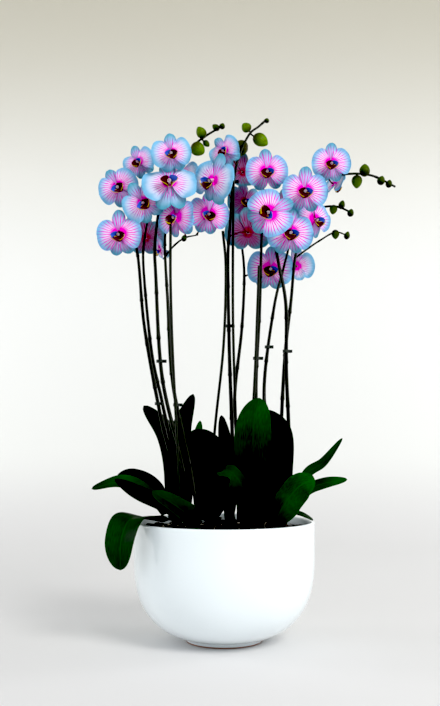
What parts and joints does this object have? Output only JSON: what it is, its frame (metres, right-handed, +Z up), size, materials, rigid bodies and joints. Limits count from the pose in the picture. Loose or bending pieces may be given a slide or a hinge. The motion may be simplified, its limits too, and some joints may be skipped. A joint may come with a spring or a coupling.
{
  "type": "potted orchid",
  "caption": "Moth orchids with tall flower spikes, strap leaves and pink-veined flowers, growing in a rounded white glazed bowl.",
  "frame": {"origin": "centre of the bowl's foot on the surface that it stands on", "axes": "+Z up along the bowl's axis, front of the plants towards -Y"},
  "size_m": [0.5156, 0.3, 0.8828],
  "materials": {
    "bowl": "gloss white glaze",
    "medium": "rough bark chips",
    "spike": "satin dark green stem",
    "stake": "matt dark green rod",
    "leaf": "waxy dark green leaf",
    "flower": "soft petals, pale blue with magenta veins"
  },
  "bodies": {
    "root": {"bowl": "bowl", "flower_01": "flower", "flower_02": "flower", "flower_03": "flower", "flower_04": "flower", "flower_05": "flower", "flower_06": "flower", "flower_07": "flower", "flower_08": "flower", "flower_09": "flower", "flower_10": "flower", "flower_11": "flower", "flower_12": "flower", "flower_13": "flower", "flower_14": "flower", "flower_15": "flower", "flower_16": "flower", "flower_17": "flower", "flower_18": "flower", "flower_19": "flower", "flower_20": "flower", "flower_21": "flower", "flower_22": "flower", "flower_23": "flower", "flower_24": "flower", "flower_25": "flower", "flower_26": "flower", "flower_27": "flower", "growing_medium": "medium", "leaf_01": "leaf", "leaf_02": "leaf", "leaf_03": "leaf", "leaf_04": "leaf", "leaf_05": "leaf", "leaf_06": "leaf", "leaf_07": "leaf", "leaf_08": "leaf", "leaf_09": "leaf", "leaf_10": "leaf", "leaf_11": "leaf", "leaf_12": "leaf", "leaf_13": "leaf", "leaf_14": "leaf", "leaf_15": "leaf", "leaf_16": "leaf", "leaf_17": "leaf", "spike_a1": "spike", "spike_a2": "spike", "spike_b1": "spike", "spike_b2": "spike", "spike_c1": "spike", "spike_c2": "spike", "spike_d1": "spike", "spike_d2": "spike", "spike_e1": "spike", "spike_e2": "spike", "stake_1": "stake", "stake_2": "stake", "stake_3": "stake", "stake_4": "stake"}
  },
  "joints": []
}
